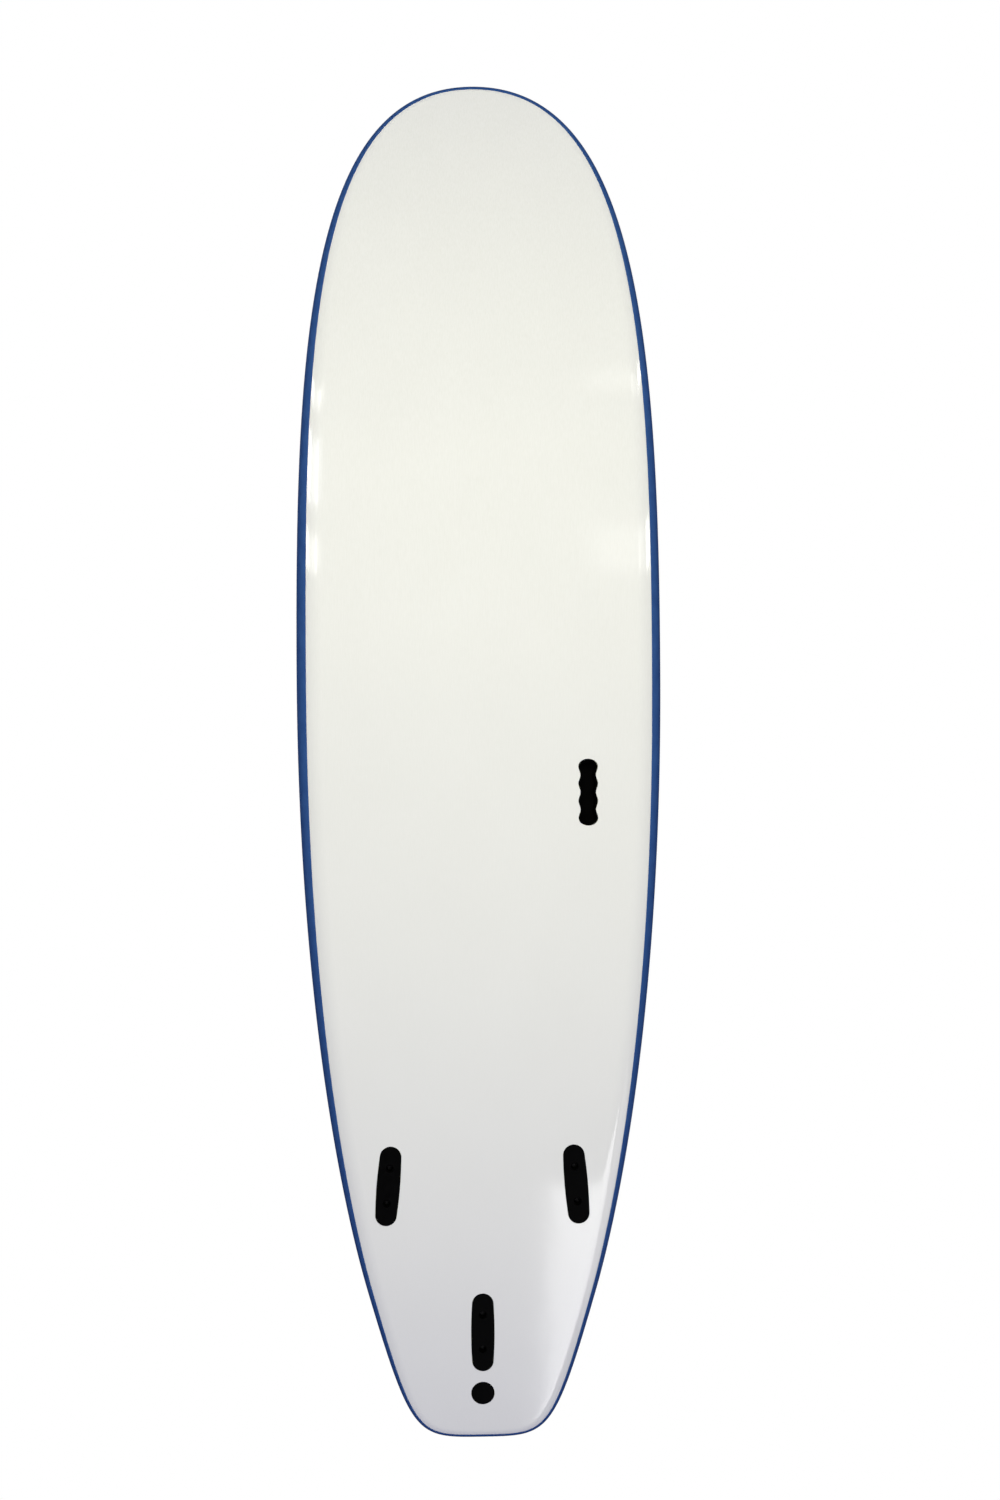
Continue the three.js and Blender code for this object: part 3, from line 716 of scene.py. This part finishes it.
def deck_skin():
    s = STATIONS
    edge = seam_distance() + GAP / 2
    rim = rim_columns("deck", s.crown, edge, -1, FOAM, FOAM_RIM)
    start, end = angle_at(s.crown, edge + PAST_RIM * FOAM_RIM), math.pi / 2
    outer = edge_columns("deck", start, end, EDGE_STEPS.deck, 0)
    outer += inner_columns("deck", SHEET_COLUMNS, 0)
    inner = edge_columns("deck", start, end, EDGE_STEPS.deck // 2, FOAM)
    inner += inner_columns("deck", HIDDEN_COLUMNS, FOAM)
    return sheet("deck_foam", [*outer[::-1], *rim, *inner])


# ---- Fin plates ----
def plate_outline(grow):
    """A long plate outline with round ends and slightly bulging sides, grown by `grow` all round."""
    end = FIN_PLATE.end_radius + grow
    straight = FIN_PLATE.length / 2 - FIN_PLATE.end_radius
    bulge = FIN_PLATE.width - FIN_PLATE.end_radius + grow
    t = np.linspace(0, 1, CURVE_POINTS, endpoint=False)
    side_x = straight * (2 * t - 1)
    side_y = -((1 - t) ** 2 * end + 2 * t * (1 - t) * bulge + t**2 * end)
    a = np.linspace(-math.pi / 2, math.pi / 2, CURVE_POINTS, endpoint=False)
    side = np.column_stack((side_x, side_y))
    cap = np.column_stack((straight + end * np.cos(a), end * np.sin(a)))
    half = np.concatenate((side, cap))
    return np.concatenate((half, -half))


def block_outline(grow):
    """A rectangle with rounded corners."""
    corner = FIN_BLOCK.corner + grow
    x, y = FIN_BLOCK.length / 2 - FIN_BLOCK.corner, FIN_BLOCK.width / 2 - FIN_BLOCK.corner
    points = []
    for i, (sx, sy) in enumerate(((1, 1), (-1, 1), (-1, -1), (1, -1))):
        for a in np.linspace(i * math.pi / 2, (i + 1) * math.pi / 2, CORNER_POINTS):
            points.append((sx * x + corner * math.cos(a), sy * y + corner * math.sin(a)))
    return np.array(points)


def socket_hollow(x):
    """What a socket takes out of its plate: a flared mouth, the socket and the screw's hole in its floor."""
    s = SOCKET
    face = -FIN_PLATE.proud
    mouth = s.radius + s.flare
    below, above = -3, FIN_BLOCK.depth + 2
    hollow = [
        (0, below, 0),
        (mouth + 2, below, 0),
        (mouth, face, 0),
        (s.radius, face + s.flare, 0.5),
        (s.radius, s.depth, 0.6),
        (SCREW_HOLE, s.depth, 0),
        (SCREW_HOLE, above, 0),
        (0, above, 0),
    ]
    return moved(turned("socket", hollow), Matrix.Translation((x, 0, 0)))


def fin_plate(side, at):
    face, back = -FIN_PLATE.proud, FIN_PLATE.flange
    edge = [(PLATE_CORE, face, 0), (0, face, 0.9), (0, back, 0.3), (PLATE_CORE, back, 0)]
    plate = outline_loft(f"fin_plate_{side}_moulding", plate_outline, edge)
    inside, depth = FIN_PLATE.flange - 2, FIN_BLOCK.depth
    sides = [(BLOCK_CORE, inside, 0), (0, inside, 0), (0, depth, 1.0), (BLOCK_CORE, depth, 0)]
    combine(plate, [outline_loft("block", block_outline, sides)], "UNION")
    combine(plate, [socket_hollow(x) for x in SOCKET_ENDS.values()], "DIFFERENCE")
    return moved(plate, at)


def fin_screw(side, end, length):
    s = SCREW
    section = [
        (0, -length, 0),
        (s.radius - 0.6, -length, 0),
        (s.radius, -length + 0.8, 0),
        (s.radius, 0, 0.2),
        (s.head_radius, 0, 0.3),
        (s.head_radius, s.head, 1.4),
        (0, s.head, 0),
    ]
    body = turned(f"screw_{side}_{end}", section, turns=64)
    hexagon = rod("hex", s.hex_radius, s.head - s.hex_depth, s.head + 1, turns=6)
    return combine(body, [hexagon], "DIFFERENCE")


def deck_washer(side, end):
    w = WASHER
    section = [
        (SCREW_HOLE, 0, 0.2),
        (w.radius, 0, 0.3),
        (w.radius, w.height - w.side_loss, 1.2),
        (w.radius - w.top_loss, w.height, 2.4),
        (w.well, w.height, 0.6),
        (w.well, w.seat, 0.3),
        (SCREW_HOLE, w.seat, 0.2),
    ]
    return ring_of(f"washer_{side}_{end}", section)


# ---- Handle ----
def handle_outline(grow):
    """The wavy finger-grip outline, grown by `grow` all round."""
    h = HANDLE
    straight = 1.5 * h.pitch
    cap_length = h.length / 2 - straight
    s = np.linspace(straight, -straight, HANDLE_SIDE_POINTS)
    side = np.column_stack((s, h.half - h.wave * np.cos(2 * math.pi * s / h.pitch) + grow))
    a = np.linspace(0, math.pi, HANDLE_END_POINTS)[1:-1]
    cap = np.column_stack((-straight - (cap_length + grow) * np.sin(a), (h.cap_half + grow) * np.cos(a)))
    half = np.concatenate((side, cap))
    return np.concatenate((half, -half))


def handle_cup(at):
    c = HANDLE_CUP
    back = c.depth + c.wall
    levels = [
        (HANDLE_CORE, c.depth, 0),
        (-c.lip, c.depth, 3.0),
        (-c.lip, c.recess, 1.1),
        (0, c.recess, 0.7),
        (0, c.flange, 0.2),
        (c.wall - c.lip, c.flange, 0.2),
        (c.wall - c.lip, back, 2.5),
        (HANDLE_CORE, back, 0),
    ]
    return moved(outline_loft("handle_moulding", handle_outline, levels), at)


def outline_cutter(outline, core, at):
    """Cuts a fitting's outline, with its clearance, right through a layer."""
    reach = CUTTER_REACH
    edge = [(core, -reach, 0), (FIT_GAP, -reach, 0), (FIT_GAP, reach, 0), (core, reach, 0)]
    return moved(outline_loft("cutter", outline, edge), at)


# ---- Leash plug ----
def bar_frame():
    """From a frame on the deck to the bar's own, whose +Z runs along the bar."""
    return Matrix.Translation((0, 0, -LEASH_BAR.depth)) @ Matrix.Rotation(math.pi / 2, 4, "X")


def leash_cup(at):
    c, screw = LEASH_CUP, LEASH_SCREW
    bottom = -c.well - c.floor
    under_flange = c.proud - c.flange
    section = [
        (screw.radius + screw.gap, bottom, 0),
        (c.radius, bottom, 0.8),
        (c.radius, under_flange, 0.2),
        (c.flange_radius, under_flange, 0.3),
        (c.flange_radius, c.proud, 1.3),
        (c.well_radius, c.proud, 0.9),
        (c.well_radius, -c.well, 1.5),
        (screw.head_radius + screw.head_gap, -c.well, 0.2),
        (screw.radius + screw.gap, -c.well - screw.head, 0),
    ]
    reach = c.radius + 1
    body = ring_of("leash_cup_moulding", section)
    hole = moved(rod("bar_hole", LEASH_BAR.radius + 0.1, -reach, reach, turns=32), bar_frame())
    return moved(combine(body, [hole], "DIFFERENCE"), at)


def leash_bar(at):
    half = LEASH_BAR.length / 2
    pin = rod("leash_bar_pin", LEASH_BAR.radius, -half, half, rounding=(0.5, 0.5), turns=48)
    return moved(pin, at @ bar_frame())


def leash_cap(cap_at, cup_at, plug_depth):
    c = LEASH_CAP
    dome = [
        (0, -c.proud - c.dome, 0),
        (c.radius * 0.6, -c.proud - 0.7 * c.dome, 8),
        (c.radius, -c.proud + 0.2 * c.dome, 0.8),
        (c.radius, c.flange, 0.3),
        (0, c.flange, 0),
    ]
    cap = moved(turned("leash_cap_disc", dome), cap_at)
    top = -LEASH_CUP.well - LEASH_CUP.floor - GAP
    foot = -plug_depth + c.flange / 2
    spigot = rod("spigot", c.spigot_radius, foot, top, rounding=(0, 0.6))
    combine(cap, [moved(spigot, cup_at)], "UNION")
    hole = rod("screw_hole", LEASH_SCREW.radius + FIT_GAP, -plug_depth + c.hole_start, 0, turns=48)
    return combine(cap, [moved(hole, cup_at)], "DIFFERENCE")


def disc_cutter(radius, reach, at):
    """Cuts a round fitting's outline, with its clearance, right through a layer."""
    return moved(rod("cutter", radius + FIT_GAP, -reach, reach), at)


# ---- Assembly ----
def surface_tree(made):
    mesh = made.data
    points = [v.co.copy() for v in mesh.vertices]
    return BVHTree.FromPolygons(points, [tuple(p.vertices) for p in mesh.polygons])


def deck_above(deck_tree, at):
    """How far the deck's surface is from a place on the bottom, along the place's own +Z."""
    far = at @ Vector((0, 0, WELL_ABOVE))
    down = (at @ Vector((0, 0, 0)) - far).normalized()
    return WELL_ABOVE - deck_tree.ray_cast(far, down)[3]


def fit_fin_plate(side, at, deck_tree):
    """Places a fin plate with its screws and washers, and returns what the washers take out of the deck."""
    place_piece(fin_plate(side, at), [f"fin_plate_{side}"], MATERIALS["nylon"])
    deck_cutters = []
    for end, socket_x in SOCKET_ENDS.items():
        socket_at = at @ Matrix.Translation((socket_x, 0, 0))
        foot = deck_above(deck_tree, socket_at) - WASHER.sunk
        seat = foot + WASHER.seat + SEAT_GAP
        screw_at = socket_at @ Matrix.Translation((0, 0, seat))
        washer_at = socket_at @ Matrix.Translation((0, 0, foot))
        screw = moved(fin_screw(side, end, seat - SCREW.tip), screw_at)
        washer = moved(deck_washer(side, end), washer_at)
        place_piece(screw, [f"fin_screw_{side}_{end}"], LIGHTER_NYLON_COPY)
        place_piece(washer, [f"deck_washer_{side}_{end}"], LIGHTER_NYLON_COPY)
        deck_cutters.append(disc_cutter(WASHER.radius, CUTTER_REACH, washer_at))
    return deck_cutters


def fit_leash_plug(deck_tree):
    """Places the plug, its bar and its cap, and returns where the plug and the cap are."""

    def deck_at(x):
        return deck_tree.ray_cast(Vector((x, 0, WELL_ABOVE)), Vector((0, 0, -1)))[0].z

    reach = LEASH_CUP.flange_radius
    slope = (deck_at(LEASH_X + reach) - deck_at(LEASH_X - reach)) / (2 * reach)
    cup_at = Matrix.Translation((LEASH_X, 0, deck_at(LEASH_X))) @ Matrix.Rotation(-math.atan(slope), 4, "Y")
    cap_at = bottom_frame(LEASH_X, 0)
    plug_depth = deck_at(LEASH_X) - float(rocker(LEASH_X))
    place_piece(leash_cup(cup_at), ["leash_cup"], LIGHTER_NYLON_COPY)
    place_piece(leash_bar(cup_at), ["leash_bar"], MATERIALS["steel"])
    place_piece(leash_cap(cap_at, cup_at, plug_depth), ["leash_cap"], MATERIALS["nylon"])
    return cup_at, cap_at


def build_board():
    deck = deck_skin()
    deck_tree = surface_tree(deck)
    slick = bottom_slick()
    slick_cutters, deck_cutters = [], []

    for side, (x, y, toe) in FIN_PLACES.items():
        at = bottom_frame(x, y, toe)
        deck_cutters += fit_fin_plate(side, at, deck_tree)
        slick_cutters.append(outline_cutter(plate_outline, PLATE_CORE, at))

    handle_at = bottom_frame(HANDLE.x, HANDLE.y)
    place_piece(handle_cup(handle_at), ["handle_cup"], MATERIALS["nylon"])
    slick_cutters.append(outline_cutter(handle_outline, HANDLE_CUTTER_CORE, handle_at))

    cup_at, cap_at = fit_leash_plug(deck_tree)
    slick_cutters.append(disc_cutter(LEASH_CAP.radius, LEASH_CUTTER_REACH, cap_at))
    deck_cutters.append(disc_cutter(LEASH_CUP.flange_radius, LEASH_CUTTER_REACH, cup_at))

    combine(slick, slick_cutters, "DIFFERENCE")
    combine(deck, deck_cutters, "DIFFERENCE")
    place_piece(slick, ["bottom_slick"], MATERIALS["slick"])
    place_piece(deck, ["deck_skin"], MATERIALS["deck_foam"])
    for side, node in ((1, "rail_left"), (-1, "rail_right")):
        place_piece(rail(side), [node], MATERIALS["rail_foam"])


# ---- Camera ----
# The camera is four metres under the board and looks straight up, with the nose at the top of the picture.
# Then it is turned a little, in this order and in degrees.
CAMERA_PLACE = (-0.0199, -0.1362, -4.0)
CAMERA_PAN = -2.391
CAMERA_TILT = 0.399
CAMERA_ROLL = 0.356
LENS = 62.24
SENSOR = 36


def add_camera():
    right, up, ahead = Vector((0, 1, 0)), Vector((1, 0, 0)), Vector((0, 0, 1))

    def turn(angle, about, *others):
        spin = Matrix.Rotation(math.radians(angle), 3, about)
        return [spin @ v for v in others]

    right, ahead = turn(CAMERA_PAN, up, right, ahead)
    up, ahead = turn(CAMERA_TILT, right, up, ahead)
    right, up = turn(CAMERA_ROLL, ahead, right, up)
    data = bpy.data.cameras.new("camera")
    data.lens = LENS
    data.sensor_width = SENSOR
    camera = bpy.data.objects.new("camera", data)
    axes = Matrix((right, up, -ahead)).transposed()
    camera.matrix_world = Matrix.Translation(CAMERA_PLACE) @ axes.to_4x4()
    SCENE.collection.objects.link(camera)
    SCENE.camera = camera


# ---- Lights, in metres and watts ----
WHITE = (1.0, 1.0, 1.0)
YELLOWISH = (1.0, 1.0, 0.97)
# Each light's place, what it faces, its size, power and colour, and the surfaces that it lights: matt ones
# only, glossy ones only, which mirror it, or both.
LIGHTS = {
    "key_below": ((0.76, 0, -2.6), (0.12, 0, 0), (1.2, 1.2), 62, (1.0, 1.0, 0.70), "matt"),
    "tail_panel": ((-2.75, 1.655, -4.0), (-2.75, 1.655, 0), (1.7, 2.6), 95, WHITE, "glossy"),
    "tail_side": ((-2.4, 3.4, -2.2), (-0.9, 0.2, 0), (1.6, 2.2), 18, WHITE, "glossy"),
    "tail_fill": ((-1.1, 0, -1.3), (-1.0, 0, 0), (0.6, 0.6), 1.4, WHITE, "matt"),
    "top_front": ((1.3, -0.7, 4.2), (0, 0, 0), (3.2, 3.2), 120, (1.0, 0.98, 0.95), "both"),
    "top_back": ((-1.4, 0.8, 4.2), (0, 0, 0), (3.2, 3.2), 95, (0.94, 0.97, 1.0), "both"),
}
# Softboxes beyond the two edges, seen only as reflections along the rolled edge of the bottom sheet:
# the side, the place along the board, the width along it and the colour.
SIDE_BOXES = (
    (-1, 1.80, 0.14, YELLOWISH),
    (-1, 1.30, 0.42, (0.93, 0.95, 1.0)),
    (-1, 0.81, 0.20, (1.0, 0.99, 0.95)),
    (1, 1.88, 0.14, YELLOWISH),
    (1, 0.835, 0.25, YELLOWISH),
)
# Each of them in steps from low to almost under the edge: how far out, how far down and its height, then its
# radiance on the right and on the left of the board.
SIDE_BOX_STEPS = (
    (2.75, -1.6, 1.6, (14.0, 14.0)),
    (1.6, -2.8, 1.6, (7.0, 3.5)),
    (0.77, -3.1, 1.2, (3.6, 2.0)),
)
EDGE_Y = 0.25  # how far out from the centreline they face


def area_light(name, place, target, size, power, color, surfaces):
    data = bpy.data.lights.new(name, "AREA")
    data.shape = "RECTANGLE"
    data.size, data.size_y = size
    data.energy = power
    data.color = color
    light = bpy.data.objects.new(name, data)
    light.location = place
    light.rotation_mode = "QUATERNION"
    light.rotation_quaternion = (Vector(target) - Vector(place)).to_track_quat("-Z", "Y")
    light.visible_camera = False
    light.visible_glossy = surfaces != "matt"
    light.visible_diffuse = surfaces != "glossy"
    SCENE.collection.objects.link(light)


def add_lights():
    for name, settings in LIGHTS.items():
        area_light(name, *settings)
    for number, (side, x, width, color) in enumerate(SIDE_BOXES):
        for step, (out, down, height, radiance) in enumerate(SIDE_BOX_STEPS):
            power = radiance[side > 0] * math.pi * width * height
            edge = side * EDGE_Y
            place = (x, edge + side * out, down)
            name = f"side_box_{number}_{step}"
            area_light(name, place, (x, edge, 0), (width, height), power, color, "glossy")


# How bright the world is by how far a ray points up, from -1 to 1: between which two directions the strength
# changes, and its values there.
FILL_STRENGTH = (-0.15, -0.7, 0.15, 1)
FILL_COLOR = (0.26, 0.26, 0.47)
HORIZON_UNDER = (-0.8, -0.1, 0.26, 1.8)
HORIZON_OVER = (0, 0.3, 1, 0.1)


def add_world():
    """White to the camera. Glossy rays see a pale horizon, and all others a cool fill from below."""
    made = bpy.data.worlds.new("studio")
    made.use_nodes = True
    tree = made.node_tree
    tree.nodes.clear()

    def node(kind, inputs, **settings):
        new = tree.nodes.new("ShaderNode" + kind)
        for name, value in settings.items():
            setattr(new, name, value)
        for name, value in inputs.items():
            if isinstance(value, bpy.types.NodeSocket):
                tree.links.new(value, new.inputs[name])
            else:
                new.inputs[name].default_value = value
        return new.outputs[0]

    def ramp(value, start, end, low, high):
        inputs = {"Value": value, "From Min": start, "From Max": end, "To Min": low, "To Max": high}
        return node("MapRange", inputs)

    direction = tree.nodes.new("ShaderNodeTexCoord").outputs["Generated"]
    split = tree.nodes.new("ShaderNodeSeparateXYZ")
    tree.links.new(direction, split.inputs[0])
    up = split.outputs["Z"]
    under, over = ramp(up, *HORIZON_UNDER), ramp(up, *HORIZON_OVER)
    horizon = node("Math", {0: under, 1: over}, operation="MULTIPLY")
    fill = node("Background", {"Color": (*FILL_COLOR, 1), "Strength": ramp(up, *FILL_STRENGTH)})
    mirrored = node("Background", {"Color": (*WHITE, 1), "Strength": horizon})
    seen = node("Background", {"Color": (*WHITE, 1)})
    path = tree.nodes.new("ShaderNodeLightPath").outputs
    other = node("MixShader", {0: path["Is Glossy Ray"], 1: fill, 2: mirrored})
    both = node("MixShader", {0: path["Is Camera Ray"], 1: other, 2: seen})
    out = tree.nodes.new("ShaderNodeOutputWorld")
    tree.links.new(both, out.inputs["Surface"])
    SCENE.world = made


# ---- Floor ----
FLOOR_HALF = 4.0
FLOOR_TOP = -0.0005  # just under the board
FLOOR_PAINT = (0.86, 0.86, 0.855)
FADE_FROM = 1.1  # how far from the board's middle the floor starts to fade
FADE_TO = 3.2  # and where it is gone


def floor_material():
    """Matt pale paint that fades into the white background, and is clear from beneath."""
    material = bpy.data.materials.new("studio_floor")
    material.use_nodes = True
    tree = material.node_tree
    tree.nodes.clear()
    paint = tree.nodes.new("ShaderNodeBsdfDiffuse")
    paint.inputs["Color"].default_value = (*FLOOR_PAINT, 1)
    clear = tree.nodes.new("ShaderNodeBsdfTransparent")
    side = tree.nodes.new("ShaderNodeNewGeometry")
    place = tree.nodes.new("ShaderNodeTexCoord")
    away = tree.nodes.new("ShaderNodeVectorMath")
    away.operation = "LENGTH"
    fade = tree.nodes.new("ShaderNodeMapRange")
    fade.interpolation_type = "SMOOTHSTEP"
    fade.inputs["From Min"].default_value = FADE_FROM
    fade.inputs["From Max"].default_value = FADE_TO
    hidden = tree.nodes.new("ShaderNodeMath")
    hidden.operation = "MAXIMUM"
    mix = tree.nodes.new("ShaderNodeMixShader")
    out = tree.nodes.new("ShaderNodeOutputMaterial")
    tree.links.new(place.outputs["Object"], away.inputs[0])
    tree.links.new(away.outputs["Value"], fade.inputs["Value"])
    tree.links.new(fade.outputs[0], hidden.inputs[0])
    tree.links.new(side.outputs["Backfacing"], hidden.inputs[1])
    tree.links.new(hidden.outputs[0], mix.inputs["Fac"])
    tree.links.new(paint.outputs[0], mix.inputs[1])
    tree.links.new(clear.outputs[0], mix.inputs[2])
    tree.links.new(mix.outputs[0], out.inputs["Surface"])
    return material


def add_floor():
    """A pale floor just under the board. Only its upper side shows, so the camera beneath sees the board."""
    half = FLOOR_HALF
    corners = [(x, y, FLOOR_TOP) for x, y in ((-half, -half), (half, -half), (half, half), (-half, half))]
    floor = new_object("studio_floor", corners, [(0, 1, 2, 3)])
    floor.data.materials.append(floor_material())
    for ray in ("diffuse", "glossy", "transmission", "shadow", "volume_scatter"):
        setattr(floor, f"visible_{ray}", False)


SCENE.view_settings.view_transform = "Standard"
add_camera()
add_lights()
add_world()
add_floor()
finish_cad_nodes()
build_board()
